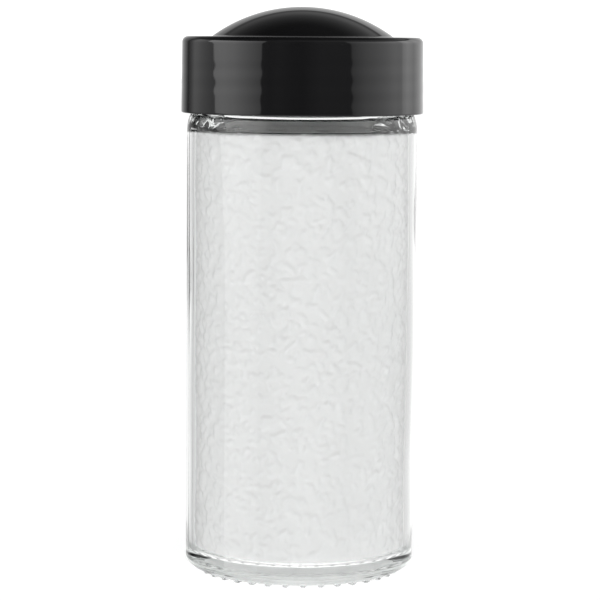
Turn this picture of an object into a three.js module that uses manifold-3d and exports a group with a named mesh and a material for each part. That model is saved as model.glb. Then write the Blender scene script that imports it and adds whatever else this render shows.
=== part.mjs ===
// A glass salt shaker with a domed screw cap, in millimetres, +Z up.
// It stands on its base at z = 0, with its axis on Z and its front towards -Y.
import * as THREE from 'three';
import { mergeVertices } from 'three/addons/utils/BufferGeometryUtils.js';
import Module from 'manifold-3d';

const wasm = await Module();
wasm.setup();

// Driving dimensions
const ROUND_STEPS = 48; // flat sides in a full circle
const GAP = 0.3; // between pieces that touch
const FRONT_ANGLE = -Math.PI / 2;

const BODY_RADIUS = 24;
const BORE_RADIUS = 22.3;
const SHOULDER_START_Z = 92.6; // where the straight wall ends
const SHOULDER_CURVE = 8.5; // radius of the curve that leads the wall into the neck
const INNER_TURN_Z = 92.6; // where the inside leaves the straight wall and cones inward
const INNER_CONE_TOP = [20.4, 95]; // radius and height at which that cone starts to bend upright
const INNER_THROAT_Z = 98.5; // from here up the mouth is straight
const NECK_RADIUS = 22.2;
const MOUTH_RADIUS = 19.8;
const NECK_TOP_Z = 108.1;
const LIP_ROUND = 0.6;

const HEEL_TOP_Z = 3.1; // where the straight wall begins
const FLOOR_Z = 4.4; // inside, next to the wall
const FLOOR_CORNER = 2; // radius of the corner between floor and wall
const FLOOR_RISE = 1.2; // of the pushed-up floor, at the axis
const BASE_THICKNESS = 2.3; // at the axis
const RING_INSIDE = 18.9; // of the flat ring that the knurls stand on
const RING_OUTSIDE = 21.7;

const KNURL_COUNT = 36;
const KNURL_HEIGHT = 0.75;
const KNURL_ROOT = 0.75; // half its width at the ring
const KNURL_TIP = 0.42; // half its width on the table
const KNURL_STRETCH = 1.7; // its length over its width
const KNURL_CIRCLE = (RING_INSIDE + RING_OUTSIDE) / 2;

const THREAD_PITCH = 3.5;
const THREAD_HEIGHT = 1;
const THREAD_FADE_TURNS = 0.12; // over which each end runs out into the wall
const CAP_THREAD_FRONT_Z = 98.8; // where the cap's first turn crosses the front
const CAP_THREAD_LEAD_IN = 0.125; // turns that it starts ahead of the front
const CAP_THREAD_TURNS = 2.25;
const NECK_THREAD_TURNS = 1.9;
const THREAD_OFFSET = 1.15; // the neck's thread bears on the cap's this far above it

const CAP_TOP_RADIUS = 25.05;
const CAP_RIM_RADIUS = 25.2;
const CAP_BORE_RADIUS = 23.7;
const CAP_RIM_Z = 96.2;
const CAP_RIM_ROUND = 0.3;
const CAP_RIM_CHAMFER = 0.5;
const CAP_TOP_Z = 112;
const CAP_CORNER = 1.25;
const CAP_PLATE = 1.4; // thickness of the flat top
const CAP_SHELL = 1.5; // thickness of the dome
const DOME_RADIUS = 18.9; // where the dome meets the flat top
const DOME_RISE = 6.2;

const LINER_RADIUS = 23.3;
const LINER_THICKNESS = 0.8;

const FLANGE_RADIUS = 21.9;
const FLANGE_THICKNESS = 0.8;
const FLANGE_EDGE = 0.2;
const INSERT_WALL = 1;
const INSERT_DEPTH = 5; // how far the insert's skirt reaches down the neck
const INSERT_LEAD_IN = 0.4; // chamfer that guides the skirt into the neck
const PLATE_DROP = 1.8; // of the perforated plate below the flange
const PLATE_THICKNESS = 1;
const SHAKER_HOLE_RADIUS = 2.55;
const SHAKER_RING_RADIUS = 11;
const SHAKER_RING_COUNT = 6;

const SALT_TOP_Z = 92.9;

// Points along a circular arc in a profile, as [radius, z], both ends included.
function arc(centreR, centreZ, radius, fromAngle, toAngle, steps) {
  const points = [];
  for (let i = 0; i <= steps; i++) {
    const angle = fromAngle + (toAngle - fromAngle) * (i / steps);
    points.push([centreR + radius * Math.cos(angle), centreZ + radius * Math.sin(angle)]);
  }
  return points;
}

// Points along a quadratic curve in a profile, both ends included.
function bend(from, corner, to, steps) {
  const [a, b, c] = [from, corner, to].map(([r, z]) => new THREE.Vector2(r, z));
  return new THREE.QuadraticBezierCurve(a, b, c).getPoints(steps).map(({ x, y }) => [x, y]);
}

// Revolves a profile of [radius, z] points about Z.
function turned(points) {
  const profile = points.map(([r, z]) => new THREE.Vector2(r, z));
  return new THREE.LatheGeometry(profile, ROUND_STEPS).rotateX(Math.PI / 2);
}

// A closed surface as a solid that can be joined and cut.
function toSolid(geometry) {
  const bare = geometry.clone();
  bare.deleteAttribute('normal');
  bare.deleteAttribute('uv');
  const merged = mergeVertices(bare, 1e-5);
  const corners = merged.index.array;
  const triangles = [];
  for (let i = 0; i < corners.length; i += 3) {
    const [a, b, c] = corners.subarray(i, i + 3);
    if (a !== b && b !== c && c !== a) triangles.push(a, b, c);
  }
  return new wasm.Manifold(new wasm.Mesh({
    numProp: 3,
    vertProperties: Float32Array.from(merged.attributes.position.array),
    triVerts: Uint32Array.from(triangles),
  }));
}

function toGeometry(solid) {
  const { vertProperties, triVerts } = solid.getMesh();
  const geometry = new THREE.BufferGeometry();
  geometry.setAttribute('position', new THREE.BufferAttribute(vertProperties, 3));
  geometry.setIndex(new THREE.BufferAttribute(triVerts, 1));
  geometry.computeVertexNormals();
  return geometry;
}

// The section of a thread, as far as it stands off its wall, with a root buried in the wall.
function threadSection(baseHalf, crestHalf) {
  const buried = 0.4;
  return new THREE.Shape([
    new THREE.Vector2(-buried, -baseHalf),
    new THREE.Vector2(0, -baseHalf),
    new THREE.Vector2(THREAD_HEIGHT, -crestHalf),
    new THREE.Vector2(THREAD_HEIGHT, crestHalf),
    new THREE.Vector2(0, baseHalf),
    new THREE.Vector2(-buried, baseHalf),
  ]);
}

// A thread: a straight bar of its section, wound up a right-hand helix. outward is 1 for a ridge
// that stands out of a neck and -1 for one inside a cap. frontZ is the height of the helix at the
// front, and startTurn counts from there. The section is the same both ways up, so an outward
// ridge is turned over to keep its faces outside.
function threadSolid({ wallRadius, outward, section, frontZ, startTurn, turns }) {
  const steps = Math.round(turns * ROUND_STEPS);
  const ridge = new THREE.ExtrudeGeometry(section, { depth: turns, steps, bevelEnabled: false });
  const leastHeight = 0.1;
  const place = ridge.attributes.position;
  for (let i = 0; i < place.count; i++) {
    const along = place.getZ(i);
    const fromEnd = Math.min(along, turns - along) / THREAD_FADE_TURNS;
    const fade = Math.min(1, leastHeight + fromEnd);
    const height = place.getX(i) > 0 ? place.getX(i) * fade : place.getX(i);
    const radius = wallRadius + outward * height;
    const turn = startTurn + along;
    const angle = FRONT_ANGLE + turn * 2 * Math.PI;
    const z = frontZ - outward * place.getY(i) + turn * THREAD_PITCH;
    place.setXYZ(i, radius * Math.cos(angle), radius * Math.sin(angle), z);
  }
  return toSolid(ridge);
}

function glassMaterial() {
  return new THREE.MeshStandardMaterial({
    color: 0xe6ede9,
    roughness: 0.03,
    metalness: 0,
    transparent: true,
    opacity: 0.35,
  });
}

function blackPlasticMaterial() {
  return new THREE.MeshStandardMaterial({ color: 0x17171a, roughness: 0.12, metalness: 0 });
}

function whitePlasticMaterial() {
  return new THREE.MeshStandardMaterial({ color: 0xf1f1ee, roughness: 0.4, metalness: 0 });
}

function foamMaterial() {
  return new THREE.MeshStandardMaterial({ color: 0xf4f3ef, roughness: 0.85, metalness: 0 });
}

function saltMaterial() {
  return new THREE.MeshStandardMaterial({ color: 0xe6e8e6, roughness: 0.55, metalness: 0 });
}

// The underside of the jar, from the axis out to the wall: pushed-up base, flat ring and heel.
function baseProfile() {
  const undersideZ = FLOOR_Z + FLOOR_RISE - BASE_THICKNESS;
  const flat = [RING_INSIDE / 2, undersideZ];
  const steep = [RING_INSIDE - 3, undersideZ - 0.4];
  const ringEdge = [RING_INSIDE - 0.8, KNURL_HEIGHT + 0.5];
  const heelEdge = [RING_OUTSIDE + 0.5, KNURL_HEIGHT + 0.2];
  const heelCorner = [BODY_RADIUS, (KNURL_HEIGHT + HEEL_TOP_Z) / 2];
  return [
    [0, undersideZ],
    ...bend(flat, steep, ringEdge, 2),
    [RING_INSIDE, KNURL_HEIGHT],
    [RING_OUTSIDE, KNURL_HEIGHT],
    ...bend(heelEdge, heelCorner, [BODY_RADIUS, HEEL_TOP_Z], 3),
  ];
}

// The jar's outline, up the outside from the axis and back down the inside.
function jarProfile() {
  const outerR = BODY_RADIUS - SHOULDER_CURVE;
  const outerAngle = Math.acos((NECK_RADIUS - outerR) / SHOULDER_CURVE);
  const lipZ = NECK_TOP_Z - LIP_ROUND;
  const cornerR = BORE_RADIUS - FLOOR_CORNER;
  const throatCornerZ = INNER_CONE_TOP[1] + 1.2;
  return [
    ...baseProfile(),
    ...arc(outerR, SHOULDER_START_Z, SHOULDER_CURVE, 0, outerAngle, 4),
    ...arc(NECK_RADIUS - LIP_ROUND, lipZ, LIP_ROUND, 0, Math.PI / 2, 2),
    ...arc(MOUTH_RADIUS + LIP_ROUND, lipZ, LIP_ROUND, Math.PI / 2, Math.PI, 2),
    ...bend([MOUTH_RADIUS, INNER_THROAT_Z], [MOUTH_RADIUS, throatCornerZ], INNER_CONE_TOP, 2),
    [BORE_RADIUS - 0.3, INNER_TURN_Z + 0.4],
    [BORE_RADIUS, INNER_TURN_Z - 0.5],
    ...arc(cornerR, FLOOR_Z + FLOOR_CORNER, FLOOR_CORNER, 0, -Math.PI / 2, 3),
    [0, FLOOR_Z + FLOOR_RISE],
  ];
}

// One knurl: a short ridge across the ring, with a flat tip that stands on the table.
function knurlSolid(angle) {
  const buried = 0.5;
  const sides = 6;
  const knurl = new THREE.CylinderGeometry(KNURL_ROOT, KNURL_TIP, KNURL_HEIGHT + buried, sides);
  knurl.rotateX(Math.PI / 2);
  knurl.scale(KNURL_STRETCH, 1, 1);
  knurl.translate(KNURL_CIRCLE, 0, (KNURL_HEIGHT + buried) / 2);
  knurl.rotateZ(angle);
  return toSolid(knurl);
}

function neckThread() {
  const baseHalf = 0.9;
  const crestHalf = 0.2;
  return threadSolid({
    wallRadius: NECK_RADIUS,
    outward: 1,
    section: threadSection(baseHalf, crestHalf),
    frontZ: CAP_THREAD_FRONT_Z + THREAD_OFFSET,
    startTurn: 0,
    turns: NECK_THREAD_TURNS,
  });
}

function glassJar() {
  let jar = toSolid(turned(jarProfile()));
  for (let i = 0; i < KNURL_COUNT; i++) {
    jar = jar.add(knurlSolid((i * 2 * Math.PI) / KNURL_COUNT));
  }
  jar = jar.add(neckThread());
  return new THREE.Mesh(toGeometry(jar), glassMaterial());
}

// The salt fills the jar to the start of the shoulder and follows its floor.
function salt() {
  const radius = BORE_RADIUS - GAP;
  const floor = FLOOR_Z + GAP;
  const heapEdge = 1;
  const fill = turned([
    [0, floor + FLOOR_RISE],
    ...arc(radius - FLOOR_CORNER, floor + FLOOR_CORNER, FLOOR_CORNER, -Math.PI / 2, 0, 3),
    [radius, SALT_TOP_Z - heapEdge],
    [radius - heapEdge, SALT_TOP_Z],
    [0, SALT_TOP_Z],
  ]);
  return new THREE.Mesh(fill, saltMaterial());
}

// The insert's outline: flange, skirt and the plate that the shaker holes go through.
function insertProfile() {
  const bottom = NECK_TOP_Z + GAP;
  const top = bottom + FLANGE_THICKNESS;
  const outer = MOUTH_RADIUS - GAP;
  const inner = outer - INSERT_WALL;
  const plateTop = top - PLATE_DROP;
  const skirtEnd = bottom - INSERT_DEPTH;
  return [
    [0, plateTop - PLATE_THICKNESS],
    [inner, plateTop - PLATE_THICKNESS],
    [inner, skirtEnd],
    [outer - INSERT_LEAD_IN, skirtEnd],
    [outer, skirtEnd + 2 * INSERT_LEAD_IN],
    [outer, bottom],
    [FLANGE_RADIUS - FLANGE_EDGE, bottom],
    [FLANGE_RADIUS, bottom + FLANGE_EDGE],
    [FLANGE_RADIUS, top - FLANGE_EDGE],
    [FLANGE_RADIUS - FLANGE_EDGE, top],
    [inner, top],
    [inner - GAP, plateTop],
    [0, plateTop],
  ];
}

function shakerHole(x, y) {
  const length = 8;
  const drill = new THREE.CylinderGeometry(SHAKER_HOLE_RADIUS, SHAKER_HOLE_RADIUS, length, 20);
  drill.rotateX(Math.PI / 2);
  drill.translate(x, y, NECK_TOP_Z);
  return toSolid(drill);
}

function shakerInsert() {
  let insert = toSolid(turned(insertProfile())).subtract(shakerHole(0, 0));
  for (let i = 0; i < SHAKER_RING_COUNT; i++) {
    const angle = (i * 2 * Math.PI) / SHAKER_RING_COUNT;
    const x = SHAKER_RING_RADIUS * Math.cos(angle);
    const y = SHAKER_RING_RADIUS * Math.sin(angle);
    insert = insert.subtract(shakerHole(x, y));
  }
  return new THREE.Mesh(toGeometry(insert), whitePlasticMaterial());
}

function capLiner() {
  const top = CAP_TOP_Z - CAP_PLATE - GAP;
  const bottom = top - LINER_THICKNESS;
  const disc = turned([
    [0, bottom],
    [LINER_RADIUS, bottom],
    [LINER_RADIUS, top],
    [0, top],
  ]);
  return new THREE.Mesh(disc, foamMaterial());
}

// The cap's outline, down the inside from under the dome, round the rim and back over the top.
function capProfile() {
  const domeBall = (DOME_RADIUS ** 2 + DOME_RISE ** 2) / (2 * DOME_RISE);
  const domeZ = CAP_TOP_Z + DOME_RISE - domeBall;
  const domeAngle = Math.acos(DOME_RADIUS / domeBall);
  const hollowBall = domeBall - CAP_SHELL;
  const plateZ = CAP_TOP_Z - CAP_PLATE;
  const hollowAngle = Math.asin((plateZ - domeZ) / hollowBall);
  const cornerR = CAP_TOP_RADIUS - CAP_CORNER;
  return [
    [0, domeZ + hollowBall],
    ...arc(0, domeZ, hollowBall, Math.PI / 2, hollowAngle, 6).slice(1),
    [CAP_BORE_RADIUS, plateZ],
    [CAP_BORE_RADIUS, CAP_RIM_Z + CAP_RIM_CHAMFER],
    [CAP_BORE_RADIUS + CAP_RIM_CHAMFER, CAP_RIM_Z],
    [CAP_RIM_RADIUS - CAP_RIM_ROUND, CAP_RIM_Z],
    [CAP_RIM_RADIUS, CAP_RIM_Z + CAP_RIM_ROUND],
    ...arc(cornerR, CAP_TOP_Z - CAP_CORNER, CAP_CORNER, 0, Math.PI / 2, 4),
    ...arc(0, domeZ, domeBall, domeAngle, Math.PI / 2, 7).slice(0, -1),
    [0, CAP_TOP_Z + DOME_RISE],
  ];
}

function capThread() {
  const baseHalf = 0.8;
  const crestHalf = 0.3;
  return threadSolid({
    wallRadius: CAP_BORE_RADIUS,
    outward: -1,
    section: threadSection(baseHalf, crestHalf),
    frontZ: CAP_THREAD_FRONT_Z,
    startTurn: -CAP_THREAD_LEAD_IN,
    turns: CAP_THREAD_TURNS,
  });
}

function screwCap() {
  const cap = toSolid(turned(capProfile())).add(capThread());
  return new THREE.Mesh(toGeometry(cap), blackPlasticMaterial());
}

const shaker = new THREE.Group();
const pieces = {
  glass_jar: glassJar(),
  salt: salt(),
  shaker_insert: shakerInsert(),
  cap_liner: capLiner(),
  screw_cap: screwCap(),
};
for (const [name, mesh] of Object.entries(pieces)) {
  mesh.name = name;
  shaker.add(mesh);
}

export default shaker;
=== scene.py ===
import math

import bmesh
import bpy
import numpy as np
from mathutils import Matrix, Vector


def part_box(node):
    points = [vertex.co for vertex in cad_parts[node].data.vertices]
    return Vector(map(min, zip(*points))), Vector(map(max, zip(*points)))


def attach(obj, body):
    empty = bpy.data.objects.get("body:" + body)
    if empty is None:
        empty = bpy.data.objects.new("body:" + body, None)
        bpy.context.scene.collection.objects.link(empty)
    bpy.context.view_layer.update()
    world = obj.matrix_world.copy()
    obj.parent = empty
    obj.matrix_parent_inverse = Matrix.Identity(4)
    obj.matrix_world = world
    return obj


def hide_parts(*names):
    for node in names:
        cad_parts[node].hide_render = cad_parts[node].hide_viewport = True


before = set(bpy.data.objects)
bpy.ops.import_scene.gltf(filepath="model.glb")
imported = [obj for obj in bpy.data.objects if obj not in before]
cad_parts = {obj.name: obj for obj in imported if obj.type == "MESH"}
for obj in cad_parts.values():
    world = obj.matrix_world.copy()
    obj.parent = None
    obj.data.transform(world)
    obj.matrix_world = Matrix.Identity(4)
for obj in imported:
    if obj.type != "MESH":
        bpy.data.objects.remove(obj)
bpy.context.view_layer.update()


# ---- Glass jar
# One piece of clear soda-lime glass, pressed to make the threaded neck and then blown out in a
# split mould: pushed-up base on a ring of knurls, straight wall, rounded shoulder. The mould
# sets its outside; the inside is left by the air, so it waves a little.
MM = 0.001
FRONT = -math.pi / 2
jar_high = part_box("glass_jar")[1]
jar_radius = jar_high.x
neck_top = jar_high.z
bore_radius = jar_radius - 1.7 * MM
shoulder_start = 92.6 * MM
shoulder_curve = 8.5 * MM
inner_turn = 92.6 * MM
cone_top = (20.4 * MM, 95 * MM)
throat = 98.5 * MM
neck_radius = 22.2 * MM
mouth_radius = 19.8 * MM
lip_round = 0.6 * MM
thread_pitch = 3.5 * MM
thread_depth = 1.0 * MM
neck_thread_front = 99.95 * MM
neck_thread_turns = 1.9
neck_thread_half_width = 0.95 * MM
heel_top = 3.1 * MM
heel_rings = (1.25 * MM, 2.15 * MM, 3.1 * MM)
heel_ring_height = 0.07 * MM
heel_ring_half_width = 0.22 * MM
ring_height = 0.75 * MM
ring_inside = 18.9 * MM
ring_outside = 21.7 * MM
knurl_count = 36
first_knurl = math.radians(2.4)
knurl_half_length = 1.45 * MM
knurl_half_width = 0.27
floor_height = 4.4 * MM
floor_rise = 1.2 * MM
floor_corner = 2 * MM
base_thickness = 2.3 * MM
seam_angle = math.radians(14)
seam_height = 0.035 * MM
seam_half_width = 0.16 * MM
bore_wave = 0.035 * MM
flow_mark = 0.13 * MM
hair = 0.01 * MM


def line(start, end, steps):
    """Points of (radius, height) along a straight stretch of a profile, without its last one."""
    share = np.arange(steps)[:, None] / steps
    return np.array(start) * (1 - share) + np.array(end) * share


def arc(centre, radius, start, end, steps):
    """Points along a round stretch of a profile, from one angle in degrees to another."""
    angle = np.radians(np.linspace(start, end, steps + 1))
    return np.array(centre) + radius * np.column_stack([np.cos(angle), np.sin(angle)])


def bend(start, corner, end, steps):
    """Points along a soft bend of a profile that heads for a corner and turns before it."""
    t = np.linspace(0, 1, steps + 1)[:, None]
    start, corner, end = np.array(start), np.array(corner), np.array(end)
    return (1 - t) ** 2 * start + 2 * t * (1 - t) * corner + t * t * end


def piece_of(name, corners, faces, body, node, slot, material):
    """A shown piece made from its corners and faces, standing for a CAD node on that body."""
    mesh = bpy.data.meshes.new(name)
    mesh.from_pydata(corners, [], faces)
    mesh.validate()
    mesh.polygons.foreach_set("use_smooth", [True] * len(mesh.polygons))
    mesh.materials.append(material)
    piece = bpy.data.objects.new(name, mesh)
    bpy.context.scene.collection.objects.link(piece)
    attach(piece, body)
    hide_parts(node)
    return piece


def turned(profile, around, reshape=None):
    """A closed skin turned about Z from a profile whose ends lie on the axis or meet each other.
    reshape moves the skin's places, given as arrays of radius, height and angle."""
    radius, height = np.vstack(profile).T
    on_axis = radius < 1e-9
    rings = np.flatnonzero(~on_axis)
    angle = np.broadcast_to(np.arange(around) * math.tau / around, (len(rings), around))
    r = np.repeat(radius[rings, None], around, 1)
    h = np.repeat(height[rings, None], around, 1)
    if reshape:
        r, h = reshape(r, h, angle)
    corners = np.stack([r * np.cos(angle), r * np.sin(angle), h], -1).reshape(-1, 3)
    here = np.arange(around)
    there = (here + 1) % around
    faces = []
    for k in range(len(rings) - 1 if on_axis.any() else len(rings)):
        below = k * around
        above = (k + 1) % len(rings) * around
        faces += np.column_stack([below + here, below + there, above + there, above + here]).tolist()
    for end, last in ((0, 0), (-1, (len(rings) - 1) * around)):
        if on_axis[end]:
            tip = len(corners)
            corners = np.vstack([corners, [0, 0, height[end]]])
            fan = [last + there, last + here] if end == 0 else [last + here, last + there]
            faces += np.column_stack([np.full(around, tip), *fan]).tolist()
    return corners, faces


def smooth_step(x):
    """An even rise from 0 to 1, level at both ends."""
    x = np.clip(x, 0, 1)
    return x * x * (3 - 2 * x)


def thread_ridge(height, angle, front_height, first_turn, turns, half_width, steepness=1.6):
    """How much of its full depth a right-hand thread has at each place on a wall, 0 to 1."""
    turn = (angle - FRONT) / math.tau
    turn = turn + np.round((height - front_height) / thread_pitch - turn)
    across = np.abs(height - front_height - turn * thread_pitch) / half_width
    from_end = np.minimum(turn - first_turn, first_turn + turns - turn)
    return smooth_step(0.1 + from_end / 0.12) * smooth_step((1 - across) * steepness)


def bore_waves(height, angle):
    """How far the slow waves of the inside stand in, none towards the floor and the shoulder."""
    wave = np.sin(2 * angle + 0.7 + height * 40) + 0.7 * np.sin(3 * angle - 1.1 + height * 95)
    wave += 0.45 * np.sin(7 * angle + 2 + height * 60) + 0.3 * np.sin(11 * angle - height * 150)
    fade = 12 * MM
    ends = smooth_step((height - 9 * MM) / fade) * smooth_step((90 * MM - height) / fade)
    return bore_wave * (1 + wave) * ends


def shoulder_flow(height, angle):
    """How far the marks of the flowing glass stand out inside the shoulder, most at the sides."""
    flow = np.sin(9 * angle + height * 900) + 0.8 * np.sin(17 * angle - height * 1500 + 1)
    flow += 0.6 * np.sin(31 * angle + height * 700 + 2)
    return flow_mark * flow * np.cos(angle) ** 4


def knurls(radius, angle):
    """How far the knurls stand down under the bearing ring."""
    middle = (ring_inside + ring_outside) / 2
    along = smooth_step((knurl_half_length - np.abs(radius - middle)) / (0.75 * MM))
    from_knurl = ((angle - first_knurl) * knurl_count / math.tau + 0.5) % 1 - 0.5
    across = smooth_step((knurl_half_width - np.abs(from_knurl)) / 0.19)
    return ring_height * along * across


def jar_skin(radius, height, angle):
    """The neck's thread, the mould's seams, the waves of the inside, the heel's rings and the knurls."""
    neck = (radius > neck_radius - hair) & (height > shoulder_start + 5 * MM)
    thread = thread_ridge(height, angle, neck_thread_front, 0, neck_thread_turns, neck_thread_half_width)
    r = radius + np.where(neck, thread_depth * thread, 0)
    outside = (radius > jar_radius - hair) & (height > heel_top)
    seam = np.exp(-(((np.sin(angle - seam_angle) * radius) / seam_half_width) ** 2))
    r = r + np.where(outside, seam_height * seam, 0)
    bore = (np.abs(radius - bore_radius) < hair) & (height > 9 * MM) & (height < 90 * MM)
    r = r - np.where(bore, bore_waves(height, angle), 0)
    cone = (radius > mouth_radius - hair) & (radius < neck_radius - 0.15 * MM)
    cone = cone & (height > inner_turn - 0.5 * MM) & (height < throat - 0.2 * MM)
    r = r + np.where(cone, shoulder_flow(height, angle), 0)
    heel = (height > 0.8 * MM) & (height < 4 * MM) & (radius > ring_outside)
    for place in heel_rings:
        ridge = np.exp(-(((height - place) / heel_ring_half_width) ** 2))
        r = r + np.where(heel, heel_ring_height * ridge, 0)
    under = height < ring_height + 0.02 * MM
    return r, height - np.where(under, knurls(radius, angle), 0)


def jar_outline():
    """The jar's section from the middle of its underside, up the outside and down the inside."""
    underside = floor_height + floor_rise - base_thickness
    floor_middle = floor_height + floor_rise
    shoulder_centre = (jar_radius - shoulder_curve, shoulder_start)
    shoulder_turn = math.degrees(math.acos((neck_radius - shoulder_centre[0]) / shoulder_curve))
    shoulder_end = shoulder_start + shoulder_curve * math.sin(math.radians(shoulder_turn))
    throat_corner = (mouth_radius, cone_top[1] + 1.2 * MM)
    cone_end = (bore_radius - 0.31 * MM, inner_turn + 0.4 * MM)
    return [
        [[0, underside]],
        bend((5 * MM, underside), (15.9 * MM, underside - 0.4 * MM), (18.1 * MM, 1.25 * MM), 12),
        line((18.4 * MM, ring_height), (22.1 * MM, ring_height), 19),
        bend((22.2 * MM, 0.95 * MM), (jar_radius, 1.9 * MM), (jar_radius, heel_top), 22),
        line((jar_radius, heel_top + 0.2 * MM), (jar_radius, heel_top + 1 * MM), 4),
        line((jar_radius, heel_top + 1 * MM), (jar_radius, shoulder_start), 12),
        arc(shoulder_centre, shoulder_curve, 0, shoulder_turn, 14),
        line((neck_radius, shoulder_end + 0.15 * MM), (neck_radius, neck_top - lip_round), 50),
        arc((neck_radius - lip_round, neck_top - lip_round), lip_round, 0, 90, 6),
        arc((mouth_radius + lip_round, neck_top - lip_round), lip_round, 90, 180, 6),
        line((mouth_radius, neck_top - 1.5 * MM), (mouth_radius, throat), 3),
        bend((mouth_radius, throat), throat_corner, cone_top, 14),
        line(cone_top, cone_end, 8)[1:],
        bend(cone_end, (bore_radius, inner_turn), (bore_radius, inner_turn - 0.5 * MM), 6),
        line((bore_radius, 91 * MM), (bore_radius, floor_height + floor_corner), 24),
        arc((bore_radius - floor_corner, floor_height + floor_corner), floor_corner, 0, -90, 8),
        bend((18 * MM, floor_height), (9 * MM, floor_middle), (1 * MM, floor_middle), 6),
        [[0, floor_middle]],
    ]


def clear_glass():
    """Clear container glass: a faint green where it is thick, and a fire-polished skin."""
    material = bpy.data.materials.new("clear_jar_glass")
    material.use_nodes = True
    nodes, links = material.node_tree.nodes, material.node_tree.links
    skin = nodes["Principled BSDF"]
    skin.inputs["Base Color"].default_value = (0.996, 1, 0.998, 1)
    skin.inputs["Transmission Weight"].default_value = 1
    skin.inputs["Roughness"].default_value = 0.004
    skin.inputs["IOR"].default_value = 1.51
    skin.inputs["Specular IOR Level"].default_value = 0.3
    place = nodes.new("ShaderNodeTexCoord")
    orange_peel = nodes.new("ShaderNodeTexNoise")
    orange_peel.inputs["Scale"].default_value = 90
    orange_peel.inputs["Detail"].default_value = 1
    relief = nodes.new("ShaderNodeBump")
    relief.inputs["Strength"].default_value = 0.25
    relief.inputs["Distance"].default_value = 0.02 * MM
    links.new(place.outputs["Object"], orange_peel.inputs["Vector"])
    links.new(orange_peel.outputs["Fac"], relief.inputs["Height"])
    links.new(relief.outputs["Normal"], skin.inputs["Normal"])
    tint = nodes.new("ShaderNodeVolumeAbsorption")
    tint.inputs["Color"].default_value = (0.88, 0.92, 0.9, 1)
    tint.inputs["Density"].default_value = 20
    links.new(tint.outputs["Volume"], nodes["Material Output"].inputs["Volume"])
    return material


jar_shape = turned(jar_outline(), 432, jar_skin)
piece_of("glass_jar_body", *jar_shape, "jar", "glass_jar", "jar_glass", clear_glass())


# ---- Coarse salt
# Loose crystals of about 2 mm, rubbed round at their corners, that fill the jar to the start of
# its shoulder. Their outermost ones lie flat against the glass.
salt_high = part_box("salt")[1]
salt_radius = bore_radius - 0.12 * MM
salt_bottom = floor_height + 0.15 * MM
salt_top = salt_high.z
heap_level = salt_top - 0.8 * MM
crystal_size = 2 * MM
deepest_gap = 0.3 * MM
columns = 378
cell = math.tau * salt_radius / columns
rows = int((salt_top - salt_bottom) / cell) + 1
luck = np.random.default_rng(20)


def packed_at_glass():
    """How far the outermost crystals lie in from the glass, on a grid round the heap, and the
    tone of the crystal at each place of it."""
    spacing = 0.84 * crystal_size
    places = []
    for k, height in enumerate(np.arange(0, rows * cell, spacing * 0.87)):
        count = int(columns * cell / spacing)
        along = (np.arange(count) + 0.5 * (k % 2)) * columns * cell / count
        places.append(np.column_stack([along, np.full(count, height)]))
    places = np.vstack(places)
    places += luck.normal(scale=0.22 * spacing, size=places.shape)
    count, facets, reach = len(places), 8, 4
    way = luck.normal(size=(count, facets, 3))
    way[..., 2] = np.abs(way[..., 2]) + 0.25
    way[:, 0] = luck.normal(scale=0.25, size=(count, 3)) + [0, 0, 1]
    way /= np.linalg.norm(way, axis=2, keepdims=True)
    size = luck.uniform(0.7, 1.1, (count, facets)) * crystal_size / 2
    nearest = np.rint(places / cell).astype(int)
    step = np.arange(-reach, reach + 1)
    column = (nearest[:, 0, None, None] + step[None, None, :]) + 0 * step[None, :, None]
    row = (nearest[:, 1, None, None] + step[None, :, None]) + 0 * step[None, None, :]
    across = column * cell - places[:, 0, None, None]
    up = row * cell - places[:, 1, None, None]
    tops = size[..., None, None] - way[:, :, 0, None, None] * across[:, None]
    tops = (tops - way[:, :, 1, None, None] * up[:, None]) / way[:, :, 2, None, None]
    softness = 0.06 * MM
    top = -softness * np.log(np.exp(-np.clip(tops, -4 * MM, 4 * MM) / softness).sum(1))
    top += -luck.uniform(0.35, 0.6, (count, 1, 1)) * crystal_size
    inside = (row >= 0) & (row < rows)
    row, column, top = row[inside], column[inside] % columns, top[inside]
    depth = np.full((rows, columns), -deepest_gap)
    np.maximum.at(depth, (row, column), top)
    tone = np.repeat(luck.uniform(size=count) ** 5, (2 * reach + 1) ** 2)[inside.ravel()]
    tones = np.full((rows, columns), 0.2)
    on_top = top >= depth[row, column]
    tones[row[on_top], column[on_top]] = tone[on_top]
    return depth.clip(-deepest_gap, 0), tones


def crystal_blank():
    """A cube with one cut each way on every face, as corners and four-sided faces."""
    grid = bmesh.new()
    bmesh.ops.create_cube(grid, size=2)
    bmesh.ops.subdivide_edges(grid, edges=grid.edges[:], cuts=1, use_grid_fill=True)
    corners = np.array([v.co for v in grid.verts])
    faces = np.array([[v.index for v in f.verts] for f in grid.faces])
    grid.free()
    return corners, faces


def random_turns(count):
    """Rotation matrices spread evenly over all directions."""
    w, x, y, z = (lambda q: q / np.linalg.norm(q, axis=0))(luck.normal(size=(4, count)))
    turns = [
        [1 - 2 * (y * y + z * z), 2 * (x * y - w * z), 2 * (x * z + w * y)],
        [2 * (x * y + w * z), 1 - 2 * (x * x + z * z), 2 * (y * z - w * x)],
        [2 * (x * z - w * y), 2 * (y * z + w * x), 1 - 2 * (x * x + y * y)],
    ]
    return np.array(turns).transpose(2, 0, 1)


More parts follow.
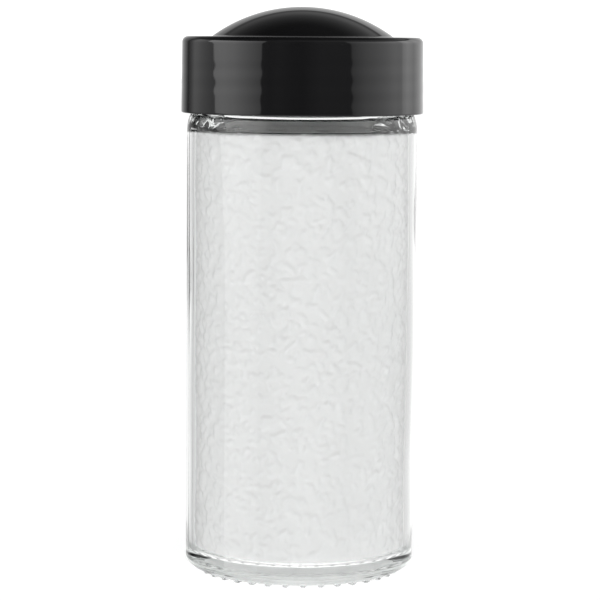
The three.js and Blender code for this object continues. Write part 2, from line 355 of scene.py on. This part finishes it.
def loose_crystals(level, low, high):
    """Corners and faces of a level layer of worn crystals, kept between two heights."""
    spacing = 0.88 * crystal_size
    side = np.arange(-salt_radius, salt_radius, spacing)
    x, y = map(np.ravel, np.meshgrid(side, side))
    places = np.column_stack([x, y, np.full(len(x), level)])
    places += luck.normal(size=places.shape) * [0.3 * spacing, 0.3 * spacing, 0.35 * MM]
    places = places[np.hypot(places[:, 0], places[:, 1]) < salt_radius - 1 * MM]
    blank, faces = crystal_blank()
    count = len(places)
    shape = np.repeat(blank[None], count, 0)
    ball = shape / np.linalg.norm(shape, axis=2, keepdims=True)
    wear = luck.uniform(0.45, 0.95, (count, 1, 1))
    shape = shape * (1 - wear) + ball * wear * 1.25
    shape *= luck.uniform(0.72, 1.12, (count, 1, 3))
    for _ in range(3):
        way = luck.normal(size=(count, 3))
        way /= np.linalg.norm(way, axis=1, keepdims=True)
        over = np.einsum("nvc,nc->nv", shape, way) - luck.uniform(0.6, 1.0, (count, 1))
        shape -= np.clip(over, 0, None)[..., None] * way[:, None]
    shape = np.einsum("nij,nvj->nvi", random_turns(count), shape)
    size = luck.normal(1, 0.16, (count, 1, 1)).clip(0.6, 1.4) * crystal_size / 2
    corners = shape * size + places[:, None]
    out = np.linalg.norm(corners[..., :2], axis=2, keepdims=True)
    corners[..., :2] *= np.minimum(1, (salt_radius - 0.3 * MM) / out)
    corners[..., 2] = np.clip(corners[..., 2], low, high)
    faces = faces[None] + (np.arange(count) * len(blank))[:, None, None]
    return corners.reshape(-1, 3), faces.reshape(-1, 4).tolist()


def white_salt():
    """White salt: frosty crystals that let light soak in and out, no two quite the same white."""
    material = bpy.data.materials.new("white_salt_crystals")
    material.use_nodes = True
    nodes, links = material.node_tree.nodes, material.node_tree.links
    skin = nodes["Principled BSDF"]
    skin.inputs["Roughness"].default_value = 0.22
    skin.inputs["IOR"].default_value = 1.54
    skin.inputs["Specular IOR Level"].default_value = 0.9
    skin.inputs["Subsurface Weight"].default_value = 1
    skin.inputs["Subsurface Radius"].default_value = (1, 1, 1)
    skin.inputs["Subsurface Scale"].default_value = 1.1 * MM
    place = nodes.new("ShaderNodeTexCoord")
    tone = nodes.new("ShaderNodeAttribute")
    tone.attribute_name = "crystal_tone"
    shade = nodes.new("ShaderNodeValToRGB")
    shade.color_ramp.elements[0].color = (0.962, 0.966, 0.964, 1)
    shade.color_ramp.elements[1].color = (1, 1, 1, 1)
    grit = nodes.new("ShaderNodeTexNoise")
    grit.inputs["Scale"].default_value = 1800
    relief = nodes.new("ShaderNodeBump")
    relief.inputs["Strength"].default_value = 0.3
    relief.inputs["Distance"].default_value = 0.08 * MM
    links.new(tone.outputs["Fac"], shade.inputs["Fac"])
    links.new(shade.outputs["Color"], skin.inputs["Base Color"])
    links.new(place.outputs["Object"], grit.inputs["Vector"])
    links.new(grit.outputs["Fac"], relief.inputs["Height"])
    links.new(relief.outputs["Normal"], skin.inputs["Normal"])
    return material


def toned(piece, tones):
    """Writes how light each crystal is on the piece, for its material to read."""
    attribute = piece.data.attributes.new("crystal_tone", "FLOAT", "POINT")
    attribute.data.foreach_set("value", tones)


pack_depth, pack_tone = packed_at_glass()


def at_glass(grid, height, angle):
    """What a grid round the heap says at each height and angle."""
    row = np.rint((height - salt_bottom) / cell).astype(int).clip(0, rows - 1)
    return grid[row, np.rint(angle * columns / math.tau).astype(int) % columns]


def heap_skin(radius, height, angle):
    """The outermost crystals pressed into the heap's wall, shallower where it meets the floor."""
    near_glass = radius > salt_radius - 2 * MM
    near_floor = smooth_step((height - salt_bottom) / (1.5 * MM))
    depth = at_glass(pack_depth, height, angle) * (0.25 + 0.75 * near_floor)
    return radius + np.where(near_glass, depth, 0), height


salt = white_salt()
heel = 1.9 * MM
heap_outline = [
    [[0, salt_bottom + floor_rise]],
    line((9 * MM, salt_bottom + 0.6 * MM), (salt_radius - heel, salt_bottom), 3),
    arc((salt_radius - heel, salt_bottom + heel), heel, -90, 0, 8)[:-1],
    line((salt_radius, salt_bottom + heel), (salt_radius, salt_top - 0.4 * MM), rows - 7),
    line((salt_radius - 0.3 * MM, salt_top - 0.15 * MM), (salt_radius - 1.2 * MM, heap_level), 3),
    line((salt_radius - 1.2 * MM, heap_level), (5 * MM, heap_level), 3),
    [[0, heap_level]],
]
heap_shape = turned(heap_outline, columns, heap_skin)
heap = piece_of("salt_heap", *heap_shape, "jar", "salt", "coarse_salt", salt)
heap_x, heap_y, heap_z = np.array(heap_shape[0]).T
toned(heap, at_glass(pack_tone, heap_z, np.arctan2(heap_y, heap_x)))

for name, level, low, high in [
    ("salt_top_crystals", heap_level, heap_level - 1 * MM, salt_top - 0.15 * MM),
    ("salt_floor_crystals", salt_bottom + 2 * MM, salt_bottom + floor_rise, salt_bottom + 4 * MM),
]:
    layer_shape = loose_crystals(level, low, high)
    layer = piece_of(name, *layer_shape, "jar", "salt", "coarse_salt", salt)
    corners_each = len(crystal_blank()[0])
    toned(layer, np.repeat(luck.uniform(size=len(layer_shape[0]) // corners_each), corners_each))


# ---- Shaker insert
# Injection-moulded white polyethylene: a flange on the neck's rim, a skirt that grips the bore
# and a sunk plate with the shaker holes. It is pushed in by hand and holds by its own spring.
insert_low, insert_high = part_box("shaker_insert")
flange_radius = insert_high.x
flange_top = insert_high.z
flange_bottom = flange_top - 0.8 * MM
skirt_radius = mouth_radius - 0.3 * MM
plate_top = flange_top - 1.8 * MM
plate_thickness = 1 * MM
hole_radius = 2.55 * MM
hole_ring_radius = 11 * MM


def white_insert_plastic():
    """Satin white polyethylene with a fine moulded skin that lets a little light in."""
    material = bpy.data.materials.new("white_insert_polyethylene")
    material.use_nodes = True
    nodes, links = material.node_tree.nodes, material.node_tree.links
    skin = nodes["Principled BSDF"]
    skin.inputs["Base Color"].default_value = (0.93, 0.93, 0.92, 1)
    skin.inputs["Roughness"].default_value = 0.38
    skin.inputs["Subsurface Weight"].default_value = 0.6
    skin.inputs["Subsurface Radius"].default_value = (1, 1, 1)
    skin.inputs["Subsurface Scale"].default_value = 1.5 * MM
    place = nodes.new("ShaderNodeTexCoord")
    grain = nodes.new("ShaderNodeTexNoise")
    grain.inputs["Scale"].default_value = 1800
    relief = nodes.new("ShaderNodeBump")
    relief.inputs["Strength"].default_value = 0.15
    relief.inputs["Distance"].default_value = 0.03 * MM
    links.new(place.outputs["Object"], grain.inputs["Vector"])
    links.new(grain.outputs["Fac"], relief.inputs["Height"])
    links.new(relief.outputs["Normal"], skin.inputs["Normal"])
    return material


def perforated_plate(name, radius, thickness, top, edge):
    """A round plate with a middle hole and a ring of six, every edge rounded."""
    outline = bpy.data.curves.new(name, "CURVE")
    outline.dimensions = "2D"
    outline.fill_mode = "BOTH"
    outline.extrude = thickness / 2 - edge
    outline.bevel_depth = edge
    outline.bevel_resolution = 3
    outline.resolution_u = 16
    bearings = np.arange(6) * math.tau / 6
    holes = [(0, 0), *[(hole_ring_radius * math.cos(a), hole_ring_radius * math.sin(a)) for a in bearings]]
    loops = [(0, 0, radius - edge), *[(x, y, hole_radius + edge) for x, y in holes]]
    for x, y, size in loops:
        loop = outline.splines.new("BEZIER")
        loop.bezier_points.add(3)
        for k, point in enumerate(loop.bezier_points):
            a = k * math.tau / 4
            way, tangent = (math.cos(a), math.sin(a)), (-math.sin(a), math.cos(a))
            reach = size * 4 / 3 * (math.sqrt(2) - 1)
            point.co = (x + size * way[0], y + size * way[1], 0)
            point.handle_left = (point.co.x - reach * tangent[0], point.co.y - reach * tangent[1], 0)
            point.handle_right = (point.co.x + reach * tangent[0], point.co.y + reach * tangent[1], 0)
        loop.use_cyclic_u = True
    sketch = bpy.data.objects.new(name, outline)
    sketch.location.z = top - thickness / 2
    bpy.context.scene.collection.objects.link(sketch)
    bpy.context.view_layer.update()
    mesh = bpy.data.meshes.new_from_object(sketch.evaluated_get(bpy.context.evaluated_depsgraph_get()))
    mesh.transform(sketch.matrix_world)
    bpy.data.objects.remove(sketch)
    return mesh


insert_plastic = white_insert_plastic()
skirt_inside = skirt_radius - 1 * MM
skirt_end = insert_low.z
edge = 0.2 * MM
skirt_outline = [
    line((skirt_inside, flange_top - edge), (skirt_inside, skirt_end + edge), 20),
    arc((skirt_inside + edge, skirt_end + edge), edge, 180, 270, 4),
    line((skirt_radius - 0.5 * MM, skirt_end), (skirt_radius, skirt_end + 0.8 * MM), 3),
    line((skirt_radius, skirt_end + 0.8 * MM), (skirt_radius, flange_bottom - edge), 16),
    line((skirt_radius, flange_bottom), (flange_radius - edge, flange_bottom), 4),
    arc((flange_radius - edge, flange_bottom + edge), edge, -90, 0, 4),
    arc((flange_radius - edge, flange_top - edge), edge, 0, 90, 4),
    arc((skirt_inside + edge, flange_top - edge), edge, 90, 180, 4)[:-1],
]
skirt_shape = turned(skirt_outline, 180)
insert = piece_of(
    "shaker_insert_body", *skirt_shape, "jar", "shaker_insert", "white_insert_plastic", insert_plastic
)
plate_mesh = perforated_plate("insert_plate", skirt_inside + 0.4 * MM, plate_thickness, plate_top, 0.15 * MM)
joined = bmesh.new()
joined.from_mesh(insert.data)
joined.from_mesh(plate_mesh)
bmesh.ops.remove_doubles(joined, verts=joined.verts, dist=0.001 * MM)
joined.to_mesh(insert.data)
joined.free()
insert.data.polygons.foreach_set("use_smooth", [True] * len(insert.data.polygons))


# ---- Cap liner
# A disc stamped from white foamed polyethylene sheet and pressed up into the cap, where the
# thread holds it. Screwing down has pressed the rim's ring into its underside.
liner_low, liner_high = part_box("cap_liner")
liner_radius = liner_high.x
liner_face = liner_radius - 0.15 * MM
liner_low_edge = liner_low.z + 0.1 * MM
liner_high_edge = liner_high.z - 0.1 * MM
rim_middle = 20.9 * MM
rim_half_width = 1.3 * MM
rim_press = 0.12 * MM


def foam_sheet():
    """Matt closed-cell foam, finely pitted."""
    material = bpy.data.materials.new("liner_foam_sheet")
    material.use_nodes = True
    nodes, links = material.node_tree.nodes, material.node_tree.links
    skin = nodes["Principled BSDF"]
    skin.inputs["Base Color"].default_value = (0.87, 0.865, 0.84, 1)
    skin.inputs["Roughness"].default_value = 0.8
    place = nodes.new("ShaderNodeTexCoord")
    cells = nodes.new("ShaderNodeTexVoronoi")
    cells.inputs["Scale"].default_value = 2200
    relief = nodes.new("ShaderNodeBump")
    relief.inputs["Strength"].default_value = 0.4
    relief.inputs["Distance"].default_value = 0.05 * MM
    links.new(place.outputs["Object"], cells.inputs["Vector"])
    links.new(cells.outputs["Distance"], relief.inputs["Height"])
    links.new(relief.outputs["Normal"], skin.inputs["Normal"])
    return material


def pressed_ring(radius, height, angle):
    """The ring that the jar's rim has pressed into the underside."""
    under = height < liner_low_edge
    ring = smooth_step((rim_half_width - np.abs(radius - rim_middle)) / (0.5 * MM))
    return radius, height + np.where(under, rim_press * ring, 0)


liner_outline = [
    [[0, liner_low.z]],
    line((4 * MM, liner_low.z), (liner_face, liner_low.z), 60),
    line((liner_face, liner_low.z), (liner_radius, liner_low_edge), 2),
    line((liner_radius, liner_low_edge), (liner_radius, liner_high_edge), 2),
    line((liner_radius, liner_high_edge), (liner_face, liner_high.z), 2),
    line((liner_face, liner_high.z), (4 * MM, liner_high.z), 6),
    [[0, liner_high.z]],
]
liner_shape = turned(liner_outline, 144, pressed_ring)
piece_of("cap_liner_disc", *liner_shape, "liner", "cap_liner", "liner_foam", foam_sheet())


# ---- Screw cap
# One glossy black polypropylene moulding: skirt with the thread inside, flat shoulder, domed
# middle. The plastic sank a little over the thick thread as it cooled, so a faint groove winds
# round the outside of the skirt.
cap_low, cap_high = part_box("screw_cap")
cap_rim_radius = cap_high.x
cap_rim = cap_low.z
cap_top = 112 * MM
cap_top_radius = cap_rim_radius - 0.15 * MM
cap_bore = 23.7 * MM
cap_corner = 1.25 * MM
cap_plate = cap_top - 1.4 * MM
dome_radius = 18.9 * MM
dome_rise = cap_high.z - cap_top
cap_thread_front = 98.8 * MM
cap_thread_start = -0.125
cap_thread_turns = 2.25
cap_thread_half_width = 0.9 * MM
sink_turns = 2.5
sink_half_width = 1.75 * MM
sink_depth = 0.022 * MM


def glossy_black_plastic():
    """Black polypropylene straight from a polished mould, with the faintest ripple in its gloss."""
    material = bpy.data.materials.new("glossy_black_polypropylene")
    material.use_nodes = True
    nodes, links = material.node_tree.nodes, material.node_tree.links
    skin = nodes["Principled BSDF"]
    skin.inputs["Base Color"].default_value = (0.0065, 0.0065, 0.007, 1)
    skin.inputs["IOR"].default_value = 1.5
    place = nodes.new("ShaderNodeTexCoord")
    ripple = nodes.new("ShaderNodeTexNoise")
    ripple.inputs["Scale"].default_value = 140
    ripple.inputs["Detail"].default_value = 2
    relief = nodes.new("ShaderNodeBump")
    relief.inputs["Strength"].default_value = 0.2
    relief.inputs["Distance"].default_value = 0.02 * MM
    polish = nodes.new("ShaderNodeMapRange")
    polish.inputs["To Min"].default_value = 0.03
    polish.inputs["To Max"].default_value = 0.07
    links.new(place.outputs["Object"], ripple.inputs["Vector"])
    links.new(ripple.outputs["Fac"], relief.inputs["Height"])
    links.new(relief.outputs["Normal"], skin.inputs["Normal"])
    links.new(ripple.outputs["Fac"], polish.inputs["Value"])
    links.new(polish.outputs["Result"], skin.inputs["Roughness"])
    return material


def cap_skin(radius, height, angle):
    """The thread inside the skirt and the sink marks over it outside."""
    wall = (np.abs(radius - cap_bore) < hair) & (height < cap_plate - 0.3 * MM)
    helix = (height, angle, cap_thread_front, cap_thread_start)
    thread = thread_ridge(*helix, cap_thread_turns, cap_thread_half_width)
    r = radius - np.where(wall, thread_depth * thread, 0)
    skirt = (radius > cap_top_radius - hair) & (height > cap_rim + 0.4 * MM)
    sink = thread_ridge(*helix, sink_turns, sink_half_width, 1)
    return r - np.where(skirt, sink_depth * sink, 0), height


def cap_outline():
    """The cap's section from under the dome, down the bore, round the rim and up over the top."""
    ball = (dome_radius**2 + dome_rise**2) / (2 * dome_rise)
    ball_height = cap_top + dome_rise - ball
    hollow = ball - 1.5 * MM
    dome_foot = math.degrees(math.acos(dome_radius / ball))
    hollow_foot = math.degrees(math.asin((cap_plate - ball_height) / hollow))
    rim = 0.3 * MM
    skirt_foot = (cap_rim_radius, cap_rim + rim + 0.1 * MM)
    skirt_head = (cap_top_radius, cap_top - cap_corner - 0.1 * MM)
    top_corner = (cap_top_radius - cap_corner, cap_top - cap_corner)
    flat_start = (cap_top_radius - cap_corner - 0.3 * MM, cap_top)
    flat_end = (dome_radius + 0.3 * MM, cap_top + 0.02 * MM)
    return [
        [[0, ball_height + hollow]],
        arc((0, ball_height), hollow, 88, hollow_foot, 20),
        line((19.4 * MM, cap_plate), (cap_bore - 0.4 * MM, cap_plate), 6),
        arc((cap_bore - 0.4 * MM, cap_plate - 0.4 * MM), 0.4 * MM, 90, 0, 4),
        line((cap_bore, cap_plate - 0.5 * MM), (cap_bore, cap_rim + 0.5 * MM), 70),
        line((cap_bore, cap_rim + 0.5 * MM), (cap_bore + 0.5 * MM, cap_rim), 3),
        line((cap_bore + 0.5 * MM, cap_rim), (cap_rim_radius - rim, cap_rim), 2),
        arc((cap_rim_radius - rim, cap_rim + rim), rim, -90, 0, 5),
        line(skirt_foot, skirt_head, 60),
        arc(top_corner, cap_corner, 0, 90, 12),
        line(flat_start, flat_end, 8),
        arc((0, ball_height), ball, dome_foot, 88, 36),
        [[0, ball_height + ball]],
    ]


cap_shape = turned(cap_outline(), 360, cap_skin)
piece_of("screw_cap_body", *cap_shape, "cap", "screw_cap", "black_cap_plastic", glossy_black_plastic())


# ---- Studio
# A light table of white acrylic under a white surround, brightest on the lens's side. Gloss sees
# a tent instead, which nothing else sees: cloth walls that glow where the soft boxes hang behind
# them, a black flag round the lens, a dark seam along the top and a dim ceiling.
def light_table():
    """Matt white acrylic that glows a little, lit from below."""
    material = bpy.data.materials.new("table_white")
    material.use_nodes = True
    skin = material.node_tree.nodes["Principled BSDF"]
    skin.inputs["Base Color"].default_value = (0.85, 0.85, 0.85, 1)
    skin.inputs["Roughness"].default_value = 0.9
    skin.inputs["Specular IOR Level"].default_value = 0
    skin.inputs["Emission Color"].default_value = (1, 1, 1, 1)
    skin.inputs["Emission Strength"].default_value = 0.66
    return material


table_reach = 6
table_corners = [(x * table_reach, y * table_reach, 0) for x, y in ((-1, -1), (1, -1), (1, 1), (-1, 1))]
table_mesh = bpy.data.meshes.new("light_table")
table_mesh.from_pydata(table_corners, [], [(0, 1, 2, 3)])
table_mesh.materials.append(light_table())
table = bpy.data.objects.new("light_table", table_mesh)
# Gloss and glass look past the table at what surrounds it, which sets their greys.
table.visible_glossy = False
table.visible_transmission = False
bpy.context.scene.collection.objects.link(table)

# The tent's wall: bearing from the lens in degrees, + to the right; brightness; and how many
# degrees a metre the edge there leans to the left as it rises.
WALL = [
    (-180, 1.0, 0), (-160, 0.7, 0), (-145, 0.38, 0), (-136, 0.07, 0), (-128, 0.3, 0),
    (-121, 0.68, 0), (-115, 0.75, 0), (-105, 0.69, 0), (-89.8, 0.56, 125),
    (-89, 1.88, 125), (-84, 2.07, 60), (-77, 2.2, 0), (-66, 2.07, 0), (-54, 1.55, 0), (-38.6, 0.86, -40),
    (-37.5, 0.12, -40), (-30, 0.08, 0), (-22, 0.11, 0), (-10, 0.06, 0), (0, 0.045, 0), (16, 0.13, 0),
    (45.6, 0.12, 60), (46.6, 0.5, 60), (51, 0.68, 30), (60, 0.96, 0), (75, 1.26, 0), (92, 1.57, 0),
    (97, 1.56, 0), (101, 1.42, 0), (106, 1.4, 0), (107.5, 1.76, 0), (115, 1.85, 0), (128, 1.05, 0),
    (145, 1.05, 0), (160, 1.1, 0), (180, 1.0, 0),
]
CEILING_EDGE = 0.345
CEILING_HEIGHTS = (0.36, 0.4, 0.44, 0.5, 0.6, 0.72, 0.82)
CEILING_GLOW = (0.17, 0.29, 0.26, 0.17, 0.1, 0.05, 0.03)
SEAM_GLOW = 0.16
CAP_MIDDLE = 0.103


def surround_glow(bearing, height):
    """The tent's brightness along one level of it."""
    knots = np.array(WALL)
    places = knots[:, 0] - knots[:, 2] * np.clip(height - CAP_MIDDLE, -0.08, 0.08)
    wall = np.interp(bearing, places, knots[:, 1])
    behind = smooth_step((np.abs(bearing) - 130) / 25)
    rise = 1 + 4 * np.clip(height - CAP_MIDDLE, -0.1, 0.1)
    sink = np.interp(height, (0.1, 0.2, 0.3), (1, 0.72, 0.66))
    wall = wall * (rise + (sink - rise) * behind)
    side = 1.1 + 0.9 * np.sin(np.radians(bearing))
    ceiling = np.interp(height, CEILING_HEIGHTS, CEILING_GLOW)
    under = smooth_step((CEILING_EDGE - height) / 0.03)
    over = smooth_step((height - CEILING_EDGE) / 0.03)
    return wall * under + SEAM_GLOW * (1 - under) * (1 - over) + ceiling * side * over


def mirrored_surround():
    """A round tent of glowing cloth, brightest where a soft box hangs."""
    around, rows = 1080, 120
    radius, deep, tall = 0.45, -0.3, 1.0
    bearing = np.linspace(-180, 180, around, endpoint=False)
    height = np.linspace(deep, tall, rows)
    b, h = map(np.ravel, np.meshgrid(bearing, height))
    a = np.radians(b) + FRONT
    corners = np.column_stack([radius * np.cos(a), radius * np.sin(a), h])
    here = np.arange(around)
    there = (here + 1) % around
    faces = []
    for k in range(rows - 1):
        low = k * around
        high = low + around
        faces += np.column_stack([low + here, high + here, high + there, low + there]).tolist()
    last = (rows - 1) * around
    top = len(corners)
    corners = np.vstack([corners, [0, 0, tall]])
    faces += np.column_stack([last + here, np.full(around, top), last + there]).tolist()
    mesh = bpy.data.meshes.new("mirrored_surround")
    mesh.from_pydata(corners, [], faces)
    glow = mesh.attributes.new("glow", "FLOAT", "POINT")
    glow.data.foreach_set("value", np.append([surround_glow(bearing, level) for level in height], 0.03))
    material = bpy.data.materials.new("surround_glow")
    material.use_nodes = True
    nodes, links = material.node_tree.nodes, material.node_tree.links
    nodes.clear()
    light = nodes.new("ShaderNodeEmission")
    strength = nodes.new("ShaderNodeAttribute")
    strength.attribute_name = "glow"
    output = nodes.new("ShaderNodeOutputMaterial")
    links.new(strength.outputs["Fac"], light.inputs["Strength"])
    links.new(light.outputs["Emission"], output.inputs["Surface"])
    material.cycles.emission_sampling = "NONE"
    mesh.materials.append(material)
    surround = bpy.data.objects.new("mirrored_surround", mesh)
    surround.visible_camera = False
    surround.visible_diffuse = False
    surround.visible_transmission = False
    surround.visible_volume_scatter = False
    surround.visible_shadow = False
    bpy.context.scene.collection.objects.link(surround)
    return surround


mirrored_surround()

world = bpy.data.worlds.new("white_surround")
bpy.context.scene.world = world
world.use_nodes = True
nodes, links = world.node_tree.nodes, world.node_tree.links
direction = nodes.new("ShaderNodeTexCoord")
split = nodes.new("ShaderNodeSeparateXYZ")
backward = nodes.new("ShaderNodeMath")
backward.operation = "MULTIPLY"
backward.inputs[1].default_value = -1
bearing = nodes.new("ShaderNodeMath")
bearing.operation = "ARCTAN2"
round_turn = nodes.new("ShaderNodeMapRange")
round_turn.inputs["From Min"].default_value = -math.pi
round_turn.inputs["From Max"].default_value = math.pi
around = nodes.new("ShaderNodeValToRGB")
upward = nodes.new("ShaderNodeValToRGB")
both = nodes.new("ShaderNodeMath")
both.operation = "MULTIPLY"
full = nodes.new("ShaderNodeMath")
full.operation = "MULTIPLY"
full.inputs[1].default_value = 3
links.new(direction.outputs["Generated"], split.inputs["Vector"])
links.new(split.outputs["Y"], backward.inputs[0])
links.new(split.outputs["X"], bearing.inputs[0])
links.new(backward.outputs["Value"], bearing.inputs[1])
links.new(bearing.outputs["Value"], round_turn.inputs["Value"])
links.new(round_turn.outputs["Result"], around.inputs["Fac"])
links.new(split.outputs["Z"], upward.inputs["Fac"])
links.new(around.outputs["Color"], both.inputs[0])
links.new(upward.outputs["Color"], both.inputs[1])
links.new(both.outputs["Value"], full.inputs[0])
links.new(full.outputs["Value"], nodes["Background"].inputs["Strength"])
nodes["Background"].inputs["Color"].default_value = (1, 1, 1, 1)


def set_ramp(ramp, stops):
    """Greys along a ramp, from pairs of place and brightness."""
    points = ramp.color_ramp.elements
    for place, _ in stops[1:-1]:
        points.new(place)
    for point, (_, grey) in zip(points, stops):
        point.color = (grey, grey, grey, 1)


# A third of the brightness at bearings from -180 to 180 degrees, then the share of it that is left at
# each height, as the sine of the angle above the table.
set_ramp(around, [
    (0, 0.42), (0.03, 0.42), (0.05, 0.4), (0.07, 0.3), (0.09, 0.26), (0.14, 0.22), (0.22, 0.48),
    (0.5, 0.67), (0.78, 0.48), (0.86, 0.24), (0.91, 0.25), (0.93, 0.26), (0.95, 0.3), (0.97, 0.42), (1, 0.42),
])
set_ramp(upward, [(0, 1), (0.2, 1), (0.4, 0.5), (0.65, 0.25), (1, 0.15)])

camera = bpy.data.objects.new("studio_camera", bpy.data.cameras.new("studio_camera"))
camera.data.sensor_width = 36
camera.data.lens = 149.3
camera.location = (-0.000175, -0.52, 0.112)
camera.rotation_mode = "XYZ"
camera.rotation_euler = (math.radians(90 - 6.04), 0, 0)
camera.rotation_euler.rotate_axis("Z", math.radians(0.43))
camera.data.clip_start = 0.01
bpy.context.scene.collection.objects.link(camera)
bpy.context.scene.camera = camera

bpy.context.scene.view_settings.view_transform = "Standard"
cycles = bpy.context.scene.cycles
cycles.max_bounces = 48
cycles.transmission_bounces = 32
cycles.glossy_bounces = 12
cycles.diffuse_bounces = 24
cycles.transparent_max_bounces = 12
